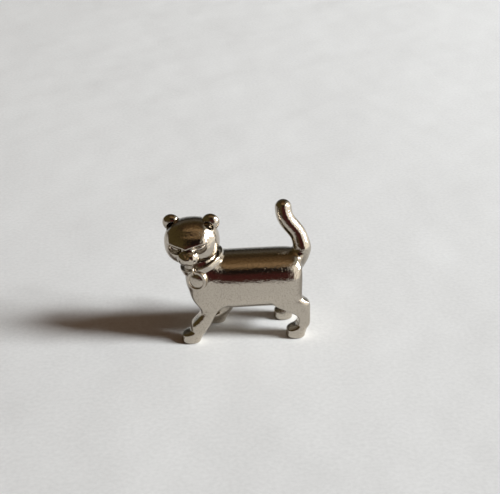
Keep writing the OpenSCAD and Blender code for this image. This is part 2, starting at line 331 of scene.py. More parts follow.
@dataclass
class Limb(Form):
    """Leg with flat sides, drawn through level sections.

    Attributes:
        profile: Front, rear, outer and inner side, along the height.
        side: Side of the cat.
        paw: Height of the paw.
        square: Squareness of its sections.
        square_paw: Squareness of the sections of the paw.
    """

    profile: Profile
    side: Side
    paw: float
    square: float = 3.6
    square_paw: float = 2.3

    def __post_init__(self) -> None:
        """Find the box of the leg."""
        front, rear, outer, inner = self.profile.sizes.T
        y = self.side.value * np.array([outer.max(), inner.min()])
        heights = self.profile.stations
        self.low = np.array([front.min(), y.min(), heights[0]])
        self.high = np.array([rear.max(), y.max(), heights[-1]])

    def measure(self, p: Array) -> Array:
        """Measure points from the leg, each in its own level.

        Args:
            p: Points, in millimetres.

        Returns:
            Distance of each point in millimetres, below zero inside.
        """
        front, rear, outer, inner = self.profile.at(p[:, 2])
        x = p[:, 0] - (front + rear) / 2
        y = self.side.value * p[:, 1] - (outer + inner) / 2
        along, across = 2 * np.abs(x) / (rear - front), 2 * np.abs(y) / (outer - inner)
        square = self.square_paw + (self.square - self.square_paw) * np.clip(p[:, 2] / self.paw - 0.5, 0, 1)
        ring = (along**square + across**square) ** (1 / square)
        radius = np.hypot(x, y)
        level = radius - radius / np.maximum(ring, 1e-6)
        beyond = np.maximum(p[:, 2] - self.high[2], self.low[2] - p[:, 2])
        return np.maximum(level, beyond)


@dataclass
class Sweep(Form):
    """Round rod that follows a curve.

    Attributes:
        spine: Three coordinates and half thickness, along the curve.
    """

    spine: Profile

    def __post_init__(self) -> None:
        """Find the box of the rod."""
        line, radius = self.spine.sizes[:, :3], self.spine.sizes[:, 3:]
        self.low, self.high = (line - radius).min(axis=0), (line + radius).max(axis=0)

    def measure(self, p: Array) -> Array:
        """Measure points from the rod.

        Args:
            p: Points, in millimetres.

        Returns:
            Distance of each point in millimetres, below zero inside.
        """
        line, radius = self.spine.sizes[:, :3], self.spine.sizes[:, 3]
        off = (line * line).sum(axis=1) - 2 * p @ line.T
        i = np.clip(off.argmin(axis=1), 1, len(line) - 2)
        ahead = line[i + 1] - line[i - 1]
        away = p - line[i]
        share = (away * ahead).sum(axis=1) / (ahead * ahead).sum(axis=1)
        share = np.where((i == 1) | (i == len(line) - 2), np.clip(share, -0.5, 0.5), share)
        away -= share[:, None] * ahead
        thick = radius[i] + share * (radius[i + 1] - radius[i - 1])
        return np.linalg.norm(away, axis=1) - thick


@dataclass
class Skin:
    """Mesh of a melted surface.

    Attributes:
        points: Places of its points, in millimetres.
        quads: Its faces, four points each.
        normals: Direction of the surface at each point.
        recess: How deep each point lies in a crease, from 0 to 1, which drives the painted crease shade.
    """

    points: Array
    quads: Array
    normals: Array
    recess: Array


@dataclass
class Sculptor:
    """Draws a mesh over the surface of a melted form.

    Attributes:
        cell: Length of a mesh edge, in millimetres.
        stride: Cells in one step of the first rough search.
        passes: Number of times that the points are brought on to the surface.
        drift: Share of the way that a point moves to the middle of its neighbours before each further pass.
        crease: Distance over which a crease counts as deep for the painted crease shade, in millimetres.
    """

    cell: float
    stride: int = 4
    passes: int = 4
    drift: float = 0.6
    crease: float = 0.5

    def slope(self, form: Rule, p: Array) -> Array:
        """Give the slope of the distance at each point.

        Args:
            form: Function that gives distances.
            p: Points, in millimetres.

        Returns:
            One vector for each point.
        """
        reach = self.cell / 3
        steps = reach * np.eye(3)
        return np.stack([(form(p + s) - form(p - s)) / (2 * reach) for s in steps], axis=1)

    def sample(self, form: Rule, low: Array, shape: Array) -> Array:
        """Measure a form on a grid, finely only near its surface.

        Args:
            form: Function that gives distances.
            low: Lowest corner of the grid.
            shape: Number of grid points along each axis, in whole strides.

        Returns:
            Distances on the grid.
        """
        rough_at = np.stack(np.meshgrid(*[np.arange(0, n, self.stride) for n in shape], indexing="ij"), -1)
        centre = low + self.cell * (rough_at + (self.stride - 1) / 2)
        rough = form(centre.reshape(-1, 3)).reshape(centre.shape[:3])
        grid, near = rough, np.abs(rough) < 1.3 * self.stride * self.cell
        for axis in range(3):
            grid, near = np.repeat(grid, self.stride, axis), np.repeat(near, self.stride, axis)
        grid[near] = form(low + self.cell * np.argwhere(near))
        return grid

    def cast(self, form: Rule, low: Array, high: Array) -> Skin:
        """Draw the mesh of a form.

        Args:
            form: Function that gives distances.
            low: Lowest corner of the form's box, in millimetres.
            high: Highest corner of the form's box, in millimetres.

        Returns:
            Mesh with its points on the surface.
        """
        low = low - 3 * self.cell
        steps = np.ceil((high + 3 * self.cell - low) / self.cell / self.stride)
        grid = self.sample(form, low, (steps * self.stride).astype(int))
        inside = grid < 0
        corners = np.array([[i, j, k] for i in (0, 1) for j in (0, 1) for k in (0, 1)])
        count = sum(self.shifted(inside, c).astype(np.int8) for c in corners)
        cells = np.argwhere((count > 0) & (count < 8))
        values = np.stack([grid[tuple((cells + c).T)] for c in corners], axis=1)
        total, hits = np.zeros(cells.shape), np.zeros(len(cells))
        for a, b in [(a, b) for a in range(8) for b in range(a) if abs(corners[a] - corners[b]).sum() == 1]:
            crossed = (values[:, a] < 0) != (values[:, b] < 0)
            share = values[crossed, a] / (values[crossed, a] - values[crossed, b])
            total[crossed] += corners[a] + share[:, None] * (corners[b] - corners[a])
            hits[crossed] += 1
        points = low + self.cell * (cells + total / hits[:, None])
        quads = self.weave(inside, cells)
        return self.settle(form, points, quads)

    @staticmethod
    def shifted(grid: Array, corner: Array) -> Array:
        """Give the grid seen from one corner of its cells."""
        i, j, k = corner
        return grid[i : grid.shape[0] - 1 + i, j : grid.shape[1] - 1 + j, k : grid.shape[2] - 1 + k]

    @staticmethod
    def weave(inside: Array, cells: Array) -> Array:
        """Join the cells that share a crossed edge.

        Args:
            inside: Which grid points lie inside the form.
            cells: Grid cells that hold a mesh point, in the order of the points.

        Returns:
            Faces that look outward.
        """
        number = np.full(inside.shape, -1)
        number[tuple(cells.T)] = np.arange(len(cells))
        quads = []
        for axis in range(3):
            ahead = np.roll(inside, -1, axis)
            edges = np.argwhere(inside != ahead)
            out = inside[tuple(edges.T)]
            b, c = np.eye(3, dtype=int)[(axis + 1) % 3], np.eye(3, dtype=int)[(axis + 2) % 3]
            ring = np.stack([number[tuple((edges - s).T)] for s in (0 * b, b, b + c, c)], axis=1)
            quads.append(np.where(out[:, None], ring, ring[:, ::-1]))
        return np.vstack(quads)

    def settle(self, form: Rule, points: Array, quads: Array) -> Skin:
        """Even out the mesh points and bring them on to the surface.

        Args:
            form: Function that gives distances.
            points: Mesh points near the surface.
            quads: Faces of the mesh.

        Returns:
            Finished mesh.
        """
        ring = np.concatenate([quads, np.roll(quads, 1, axis=1)]).ravel()
        other = np.concatenate([np.roll(quads, 1, axis=1), quads]).ravel()
        share = np.bincount(ring, minlength=len(points))[:, None]
        for step in range(self.passes):
            slope = self.slope(form, points)
            length = np.maximum((slope * slope).sum(axis=1, keepdims=True), 0.05)
            points = points - np.clip(form(points)[:, None], -self.cell, self.cell) * slope / length
            if step < self.passes - 1:
                total = [np.bincount(ring, points[other, k], len(points)) for k in range(3)]
                way = np.stack(total, 1) / share - points
                normal = slope / np.sqrt(length)
                points = points + self.drift * (way - (way * normal).sum(axis=1, keepdims=True) * normal)
        slope = self.slope(form, points)
        normals = slope / np.linalg.norm(slope, axis=1, keepdims=True)
        # Painted shade: crease depth, from how far a short step out along the normal stays near the form; the
        # material darkens the colour with it.
        recess = np.clip(1 - form(points + self.crease * normals) / self.crease, 0, 1)
        return Skin(points, quads, normals, recess)


def srgb(code: str) -> tuple[float, float, float, float]:
    """Turn an sRGB hex colour to linear.

    Args:
        code: Six hex digits.

    Returns:
        Red, green, blue and alpha.
    """
    parts = [int(code[i : i + 2], 16) / 255 for i in (0, 2, 4)]
    linear = [c / 12.92 if c <= 0.04045 else ((c + 0.055) / 1.055) ** 2.4 for c in parts]
    return (linear[0], linear[1], linear[2], 1.0)


def add_node(tree: Tree, kind: str, settings: dict | None = None, **inputs: object) -> Node:
    """Add a shader node with its settings and links.

    Args:
        tree: Node tree of a material, world or lamp.
        kind: Type of the node.
        settings: Properties of the node.
        **inputs: Values or output sockets by input name, with underscores for spaces, or by number as in_0.

    Returns:
        The new node.
    """
    node = tree.nodes.new(kind)
    for name, value in (settings or {}).items():
        setattr(node, name, value)
    for name, value in inputs.items():
        place = int(name[3:]) if name.startswith("in_") else name.replace("_", " ")
        if isinstance(value, Socket):
            tree.links.new(value, node.inputs[place])
        else:
            node.inputs[place].default_value = value
    return node


def add_ramp(tree: Tree, fac: Socket, stops: Sequence[tuple[float, Row]]) -> Node:
    """Add a colour ramp.

    Args:
        tree: Node tree of a material or world.
        fac: Socket that drives the ramp.
        stops: Places and linear colours of its stops.

    Returns:
        The new node.
    """
    node = add_node(tree, "ShaderNodeValToRGB", Fac=fac)
    ramp = node.color_ramp
    for place, _ in stops[2:]:
        ramp.elements.new(place)
    for element, (place, colour) in zip(ramp.elements, stops):
        element.position, element.color = place, colour
    return node


@dataclass(frozen=True)
class NickelPlate:
    """Zinc die casting, tumble-polished and bright nickel plated.

    The plating gives a mirror with a faint warm cast. Under it the tumbled zinc keeps an orange-peel surface
    and small casting pits, so the edges of reflections are grainy. Shade is painted into the colour: darker
    in the creases, the deeper they lie, and in the hollows of the grain.

    Attributes:
        metal: Colour of bright nickel.
        crease: Colour of the painted shade in the deepest creases.
        peel_mm: Spacing of the orange peel.
        peel_height_mm: Height of the orange peel.
        grain_mm: Spacing of the tumbling grain, drawn coarser than the real grain so that it shows.
        grain_height_mm: Height of the tumbling grain.
        grain_shade: Share of its colour that the plating keeps in the hollows of the grain, as painted shade.
        grain_shade_range: Heights of the grain between which the painted grain shade fades.
        pit_mm: Spacing of the casting pits.
        pit_depth_mm: Depth of the casting pits.
        pit_range: Distances from the middle of a pit between which it rises to the surface.
        smear_mm: Spacing of the duller patches.
        smear_range: Strengths of the smear between which the surface turns dull.
        roughness: Roughness of the clean and of the dull patches.
        shade_range: Depths in a crease between which the painted shade darkens the plating.
    """

    metal: str = "C1B8AB"
    crease: str = "4E453A"
    peel_mm: float = 0.45
    peel_height_mm: float = 0.036
    grain_mm: float = 0.16
    grain_height_mm: float = 0.018
    grain_shade: float = 0.7
    grain_shade_range: tuple[float, float] = (0.34, 0.5)
    pit_mm: float = 0.5
    pit_depth_mm: float = 0.004
    pit_range: tuple[float, float] = (0.05, 0.3)
    smear_mm: float = 3.0
    smear_range: tuple[float, float] = (0.35, 0.7)
    roughness: tuple[float, float] = (0.04, 0.08)
    shade_range: tuple[float, float] = (0.15, 0.85)

    def material(self) -> Finish:
        """Build the material.

        Returns:
            The new material.
        """
        finish = bpy.data.materials.new("nickel_plate_tumbled")
        finish.use_nodes = True
        tree = finish.node_tree
        shader = tree.nodes["Principled BSDF"]
        place = add_node(tree, "ShaderNodeTexCoord").outputs["Object"]
        recess = add_node(tree, "ShaderNodeAttribute", {"attribute_name": "recess"}).outputs["Fac"]
        # Painted shade: the colour darkens towards the crease colour the deeper a point lies in a crease.
        painted_shade = add_ramp(tree, recess, list(zip(self.shade_range, (srgb(self.metal), srgb(self.crease)))))
        smear = add_node(tree, "ShaderNodeTexNoise", Vector=place, Scale=1 / (self.smear_mm * MM), Detail=5.0)
        dull = add_node(
            tree, "ShaderNodeMapRange", Value=smear.outputs["Fac"],
            From_Min=self.smear_range[0], From_Max=self.smear_range[1],
            To_Min=self.roughness[0], To_Max=self.roughness[1],
        )
        pits = add_node(tree, "ShaderNodeTexVoronoi", Vector=place, Scale=1 / (self.pit_mm * MM))
        pit = add_node(
            tree, "ShaderNodeMapRange", Value=pits.outputs["Distance"],
            From_Min=self.pit_range[0], From_Max=self.pit_range[1], To_Min=0.0, To_Max=1.0,
        )
        peel = add_node(tree, "ShaderNodeTexNoise", Vector=place, Scale=1 / (self.peel_mm * MM), Detail=2.0)
        grit = add_node(tree, "ShaderNodeTexNoise", Vector=place, Scale=1 / (self.grain_mm * MM), Detail=1.0)
        dent = add_node(tree, "ShaderNodeBump", Height=pit.outputs["Result"], Distance=self.pit_depth_mm * MM)
        rind = add_node(
            tree, "ShaderNodeBump", Height=peel.outputs["Fac"], Distance=self.peel_height_mm * MM,
            Normal=dent.outputs["Normal"],
        )
        grain = add_node(
            tree, "ShaderNodeBump", Height=grit.outputs["Fac"], Distance=self.grain_height_mm * MM,
            Normal=rind.outputs["Normal"],
        )
        # Painted shade: the colour darkens in the hollows of the grain.
        tones = ((self.grain_shade,) * 3 + (1.0,), (1.0,) * 4)
        grain_shade = add_ramp(tree, grit.outputs["Fac"], list(zip(self.grain_shade_range, tones)))
        tone = add_node(
            tree, "ShaderNodeMix", {"data_type": "RGBA", "blend_type": "MULTIPLY"},
            in_0=1.0, in_6=painted_shade.outputs["Color"], in_7=grain_shade.outputs["Color"],
        )
        shader.inputs["Metallic"].default_value = 1.0
        tree.links.new(tone.outputs[2], shader.inputs["Base Color"])
        tree.links.new(dull.outputs["Result"], shader.inputs["Roughness"])
        tree.links.new(grain.outputs["Normal"], shader.inputs["Normal"])
        return finish


@dataclass(frozen=True)
class WritingPaper:
    """Uncoated white paper, calendered.

    It is matt and almost neutral, with a faint mottle from the pulp and shallow waves where the sheet has
    cockled.

    Attributes:
        sheet: Colour of the paper.
        mottle: Colour of the thin places.
        mottle_mm: Spacing of the mottle, drawn coarser than pulp so that it shows.
        mottle_range: Thicknesses of the pulp between which the colour changes.
        cockle_mm: Spacing of the waves.
        cockle_height_mm: Height of the waves.
        roughness: Roughness of the uncoated surface.
        gloss: Level of its faint gloss.
    """

    sheet: str = "EDEDEC"
    mottle: str = "E4E4E3"
    mottle_mm: float = 0.7
    mottle_range: tuple[float, float] = (0.3, 0.7)
    cockle_mm: float = 34.0
    cockle_height_mm: float = 0.9
    roughness: float = 0.9
    gloss: float = 0.2

    def material(self) -> Finish:
        """Build the material.

        Returns:
            The new material.
        """
        finish = bpy.data.materials.new("writing_paper_matt")
        finish.use_nodes = True
        tree = finish.node_tree
        shader = tree.nodes["Principled BSDF"]
        place = add_node(tree, "ShaderNodeTexCoord").outputs["Object"]
        pulp = add_node(tree, "ShaderNodeTexNoise", Vector=place, Scale=1 / (self.mottle_mm * MM), Detail=4.0)
        wave = add_node(tree, "ShaderNodeTexNoise", Vector=place, Scale=1 / (self.cockle_mm * MM), Detail=2.5)
        tones = (srgb(self.mottle), srgb(self.sheet))
        tint = add_ramp(tree, pulp.outputs["Fac"], list(zip(self.mottle_range, tones)))
        cockle = add_node(
            tree, "ShaderNodeBump", Height=wave.outputs["Fac"], Distance=self.cockle_height_mm * MM
        )
        tree.links.new(tint.outputs["Color"], shader.inputs["Base Color"])
        tree.links.new(cockle.outputs["Normal"], shader.inputs["Normal"])
        shader.inputs["Roughness"].default_value = self.roughness
        shader.inputs["Specular IOR Level"].default_value = self.gloss
        return finish


def add_piece(
    name: str,
    node: str,
    points: Array,
    faces: Sequence[Sequence[int]],
    normals: Array | None,
    recess: Array | None,
    finish: Finish,
) -> bpy.types.Object:
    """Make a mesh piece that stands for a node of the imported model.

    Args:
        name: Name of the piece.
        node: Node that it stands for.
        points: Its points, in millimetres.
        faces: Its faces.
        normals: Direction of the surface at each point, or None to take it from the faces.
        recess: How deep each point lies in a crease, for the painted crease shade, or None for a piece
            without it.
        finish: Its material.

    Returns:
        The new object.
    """
    mesh = bpy.data.meshes.new(name)
    mesh.from_pydata((points * MM).tolist(), [], [list(map(int, f)) for f in faces])
    mesh.validate()
    mesh.shade_smooth()
    if normals is not None:
        mesh.normals_split_custom_set_from_vertices(normals.tolist())
    # Crease depth of each point, which the material turns into painted shade.
    painted_shade = mesh.attributes.new("recess", "FLOAT", "POINT")
    depth = np.zeros(len(points)) if recess is None else recess
    painted_shade.data.foreach_set("value", depth.astype(np.float32))
    piece = bpy.data.objects.new(name, mesh)
    bpy.context.scene.collection.objects.link(piece)
    piece.data.materials.append(finish)
    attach(piece, BODY)
    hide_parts(node)
    LOG.info("%s: %d points, %d faces, stands for %s", name, len(points), len(faces), node)
    return piece


def boundary_loops(faces: Array) -> list[list[int]]:
    """Find the open edges of some faces.

    Args:
        faces: Faces of four points each.

    Returns:
        Loops of points, each in the direction that the faces run along it.
    """
    starts, ends = faces.ravel(), np.roll(faces, -1, axis=1).ravel()
    known = set(zip(starts.tolist(), ends.tolist()))
    onward: dict[int, list[int]] = {}
    for a, b in known:
        if (b, a) not in known:
            onward.setdefault(a, []).append(b)
    loops = []
    for first in sorted(onward):
        while onward.get(first):
            loop, at = [first], onward[first].pop()
            while at != first:
                loop.append(at)
                at = onward[at].pop()
            loops.append(loop)
    return loops


def share_out(skin: Skin, owners: dict[str, Form], finish: Finish) -> None:
    """Split one melted skin among its members and close each member.

    Args:
        skin: Mesh of the whole melted form.
        owners: Members by the name of their node.
        finish: Material of the pieces.
    """
    middles = skin.points[skin.quads].mean(axis=1)
    owner = np.argmin([form.distance(middles) for form in owners.values()], axis=0)
    for number, node in enumerate(owners):
        quads = skin.quads[owner == number]
        used, where = np.unique(quads, return_inverse=True)
        quads = where.reshape(-1, 4)
        points, normals, recess = skin.points[used], skin.normals[used], skin.recess[used]
        faces = quads.tolist()
        for loop in boundary_loops(quads):
            hub = len(points)
            points = np.vstack([points, points[loop].mean(axis=0)])
            normals = np.vstack([normals, -normals[loop].mean(axis=0)])
            recess = np.append(recess, 1.0)
            faces += [[b, a, hub] for a, b in zip(loop, loop[1:] + loop[:1])]
        add_piece(f"cast_{node}", node, points, faces, normals, recess, finish)


@dataclass
class LegSizes:
    """Sizes that the four legs share, in millimetres.

    Attributes:
        belly: Height of the belly above the table.
        back: Height of the back above the table.
        outer: Distance of the outer side from the middle plane.
        thick: Thickness from the outer to the inner side.
        paw_l: Length of a paw.
        paw_h: Height of a paw.
        ankle_rise: Height of the ankle above the paw.
        ankle_l: Length of the front leg section at the ankle.
        elbow_l: Length of the front leg section at the elbow.
        shoulder_l: Length of the front leg section at the shoulder.
        shank_l: Length of the rear leg section above the paw.
        thigh_l: Length of the rear leg section at the thigh.
        sweeps: Shares of a paw's length by which the back of a front and of a rear paw runs back to its top.
        chamfer: Distance that the sole's edge draws in below the table.
        sink: Depth that the rows run below the table, where the sole is cut.
        lean: Share of the height by which the outer side leans in above the ankle.
        ease: Length over which bends are eased.
    """

    belly: float
    back: float
    outer: float = 4.93
    thick: float = 3.1
    paw_l: float = 3.4
    paw_h: float = 2.1
    ankle_rise: float = 0.9
    ankle_l: float = 3.2
    elbow_l: float = 3.25
    shoulder_l: float = 6.2
    shank_l: float = 2.2
    thigh_l: float = 6.6
    sweeps: tuple[float, float] = (0.24, 0.12)
    chamfer: float = 0.1
    sink: float = 0.6
    lean: float = 0.082
    ease: float = 0.45


@dataclass
class Leg:
    """One leg of the cat.

    Attributes:
        pair: Front or rear pair.
        side: Side of the cat.
        toe: Place of the toe along the cat, in millimetres.
        hip: Place of the middle of the shoulder or thigh along the cat.
        bend: Distance of the elbow behind the toe, for a front leg.
    """

    pair: Pair
    side: Side
    toe: float
    hip: float
    bend: float = 0.0

    @property
    def node(self) -> str:
        """Name of the leg's node."""
        return f"{self.pair.value}_{self.side.name.lower()}_leg"

    def paw_rows(self, size: LegSizes) -> list[Row]:
        """Draw the sections of the paw.

        Args:
            size: Sizes of the legs.

        Returns:
            Height, front, rear, outer and inner side of each section, in millimetres.
        """
        toe, heel, inner = self.toe, self.toe + size.paw_l, size.outer - size.thick
        swept = size.sweeps[self.pair is Pair.REAR] * size.paw_l
        return [
            (-size.sink, toe + size.chamfer, heel, size.outer - size.chamfer, inner),
            (0.2 * size.paw_h, toe, heel, size.outer, inner),
            (0.5 * size.paw_h, toe + 0.02 * size.paw_l, heel + 0.4 * swept, size.outer, inner),
            (0.86 * size.paw_h, toe + 0.12 * size.paw_l, heel + 0.85 * swept, size.outer, inner),
            (size.paw_h, toe + 0.44 * size.paw_l, heel + swept, size.outer, inner),
        ]

    def upper_rows(self, size: LegSizes) -> list[Row]:
        """Draw the sections above the paw.

        Args:
            size: Sizes of the legs.

        Returns:
            Height, front, rear, outer and inner side of each section, in millimetres.
        """
        toe, deep, belly = self.toe, size.back - size.belly, size.belly
        ankle_z, hip_z, top_z = size.paw_h + size.ankle_rise, belly + 0.35 * deep, belly + 0.53 * deep
        if self.pair is Pair.FRONT:
            ankle, elbow, long = toe + 1.42 * size.paw_l, toe + self.bend, size.shoulder_l
            spans = [
                (1.14 * size.paw_h, toe + 0.5 * size.paw_l, toe + 1.3 * size.paw_l),
                (ankle_z, ankle - size.ankle_l, ankle),
                (belly + 0.05 * deep, elbow - size.elbow_l / 2, elbow + 0.36 * size.elbow_l),
                (hip_z, self.hip - 0.48 * long, self.hip + 0.5 * long),
                (top_z, self.hip - 0.2 * long, self.hip + 0.3 * long),
            ]
        else:
            shank, long = toe + 0.91 * size.paw_l, size.thigh_l
            hock, knee = shank + size.shank_l / 2, self.hip - long / 2
            spans = [
                (1.14 * size.paw_h, toe + 0.52 * size.paw_l, hock - 0.07 * size.shank_l),
                (1.1 * ankle_z, shank - size.shank_l / 2, hock),
                (0.83 * belly, shank - 0.64 * size.shank_l, hock),
                (belly, (shank + knee) / 2, hock),
                (belly + 0.1 * deep, self.hip - 0.38 * long, hock - 0.02 * size.shank_l),
                (belly + 0.16 * deep, self.hip - 0.46 * long, hock - 0.12 * size.shank_l),
                (belly + 0.22 * deep, knee, self.hip + 0.38 * long),
                (hip_z, self.hip - 0.455 * long, self.hip + 0.32 * long),
                (top_z, self.hip - 0.3 * long, self.hip + 0.18 * long),
            ]
        outers = [size.outer - size.lean * max(z - ankle_z, 0) for z, _, _ in spans]
        outers[-1] = size.outer - 0.42 * size.thick
        if self.pair is Pair.FRONT:
            outers[-2] -= 0.11 * size.thick
        return [(*span, outer, size.outer - size.thick) for span, outer in zip(spans, outers)]

    def form(self, size: LegSizes) -> Limb:
        """Give the solid of the leg."""
        return Limb(Profile(self.paw_rows(size) + self.upper_rows(size), size.ease), self.side, size.paw_h)


@dataclass
class Trunk:
    """Barrel, neck, legs and tail, melted into one skin.

    Attributes:
        cell: Length of a mesh edge, in millimetres.
        taper: Share of the width, share of the depth and height of the middle, along the barrel.
        collar_set: Distance of the middle of the collar behind the chest.
        collar_drop: Depth of the middle of the collar below the back.
        neck_shift: Distance of the neck to the left of the spine.
        neck_r: Half thickness of the neck.
        neck_lean: Forward lean of the neck, in degrees.
        neck_up: Length of the neck above the middle of the collar.
        neck_down: Length of the neck below the middle of the collar.
        tail_r: Half thickness of the tail.
        tail_rise: Height of the tail tip above the back.
        bend_out: Distance of the bend of the tail behind the rump.
        bend_rise: Height of the bend of the tail above the back.
        tail_sway: Distance that the tail sways forward from its bend to its tip.
        tail_lean: Lean of the tail to the right above its bend, in degrees.
        shoulder_set: Distance of the middle of the shoulder behind the chest.
        thigh_set: Distance of the middle of the thigh in front of the rump.
        front_steps: Distances of the left and right front toe in front of the chest.
        front_bends: Distances of the left and right elbow behind the toe.
        rear_steps: Distances of the left and right rear toe in front of the rump.
        neck_run: Fillet between neck and barrel.
        front_run: Fillet between front leg and barrel.
        rear_run: Fillet between rear leg and barrel.
        tail_run: Fillet between tail and barrel.
        sole_run: Rounding of the edge of the sole.
    """

    cell: float = 0.16
    taper: Sequence[Row] = (
        (0.0, 0.76, 0.80, 0.66),
        (0.045, 0.88, 0.91, 0.61),
        (0.11, 0.94, 0.95, 0.565),
        (0.2, 0.965, 0.965, 0.535),
        (0.32, 0.99, 0.97, 0.515),
        (0.5, 1.0, 0.97, 0.515),
        (1.0, 1.0, 0.97, 0.515),
    )
    collar_set: float = 2.93
    collar_drop: float = 1.18
    neck_shift: float = 0.5
    neck_r: float = 3.55
    neck_lean: float = 24.0
    neck_up: float = 1.2
    neck_down: float = 2.4
    tail_r: float = 1.475
    tail_rise: float = 8.35
    bend_out: float = 0.25
    bend_rise: float = 0.5
    tail_sway: float = 3.1
    tail_lean: float = 22.0
    shoulder_set: float = 4.1
    thigh_set: float = 2.4
    front_steps: tuple[float, float] = (1.1, -3.8)
    front_bends: tuple[float, float] = (5.15, 3.1)
    rear_steps: tuple[float, float] = (2.8, 4.2)
    neck_run: float = 1.2
    front_run: float = 1.2
    rear_run: float = 0.3
    tail_run: float = 0.9
    sole_run: float = 0.4
    low: Array = field(init=False)
    high: Array = field(init=False)

    def __post_init__(self) -> None:
        """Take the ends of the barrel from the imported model."""
        self.low, self.high = node_box("torso")

    @property
    def collar_at(self) -> Array:
        """Middle of the collar."""
        return np.array([self.low[0] + self.collar_set, -self.neck_shift, self.high[2] - self.collar_drop])

    @property
    def neck_line(self) -> Array:
        """Direction of the neck from the chest to the head."""
        lean = math.radians(self.neck_lean)
        return np.array([-math.sin(lean), 0.0, math.cos(lean)])

    def neck(self) -> Bar:
        """Give the solid of the neck."""
        start, end = (self.collar_at + s * self.neck_line for s in (-self.neck_down, self.neck_up))
        return Bar(start, end, (self.neck_r, 0.76 * self.neck_r))

    def tail(self) -> Sweep:
        """Draw the tail.

        Returns:
            Its solid.
        """
        rump, back, r = self.high[0], self.high[2], self.tail_r
        bend_x, bend_z = rump + self.bend_out, back + self.bend_rise
        rise, lean = back + self.tail_rise - r - bend_z, math.tan(math.radians(self.tail_lean))
        rows = [
            (0, rump - 0.84 * r, 0, back - 1.9 * r, 1.02 * r),
            (1, rump - 0.14 * r, 0, back - r, 1.07 * r),
            (2, rump + 0.85 * self.bend_out, 0, back - 0.12 * r, 1.07 * r),
            (3, bend_x, 0, bend_z, 1.05 * r),
        ]
        for i, (sway, up) in enumerate(((0.17, 0.28), (0.43, 0.455), (0.74, 0.625), (0.955, 0.81), (1, 1))):
            rows.append((4 + i, bend_x - sway * self.tail_sway, lean * up * rise, bend_z + up * rise, r))
        return Sweep(Profile(rows, ease=0.5, samples=200))

    def legs(self) -> dict[str, Limb]:
        """Draw the four legs.

        Returns:
            Their solids by the name of their node.
        """
        size = LegSizes(belly=self.low[2], back=self.high[2])
        legs, chest, rump = [], self.low[0], self.high[0]
        shoulder, thigh = chest + self.shoulder_set, rump - self.thigh_set
        for i, side in enumerate(Side):
            legs.append(Leg(Pair.FRONT, side, chest - self.front_steps[i], shoulder, self.front_bends[i]))
            legs.append(Leg(Pair.REAR, side, rump - self.rear_steps[i], thigh))
        return {leg.node: leg.form(size) for leg in legs}

    def build(self, finish: Finish) -> None:
        """Melt the members and share the skin out.

        Args:
            finish: Material of the pieces.
        """
        barrel, neck, tail = Barrel(self.low, self.high, Profile(self.taper, 0.06)), self.neck(), self.tail()
        legs = self.legs()

        def melted(p: Array) -> Array:
            """Measure points from the melted trunk.

            Args:
                p: Points, in millimetres.

            Returns:
                Distance of each point in millimetres, below zero inside.
            """
            whole = melt(barrel.distance(p), neck.distance(p), self.neck_run)
            whole = melt(whole, tail.distance(p), self.tail_run)
            for node, leg in legs.items():
                run = self.front_run if node.startswith(Pair.FRONT.value) else self.rear_run
                whole = melt(whole, leg.distance(p), run)
            return carve(whole, p[:, 2], self.sole_run)

        members = {"torso": barrel, "neck": neck, "tail": tail, **legs}
        low = np.min([m.low for m in members.values()], axis=0)
        high = np.max([m.high for m in members.values()], axis=0)
        skin = Sculptor(self.cell).cast(melted, low, high)
        share_out(skin, members, finish)


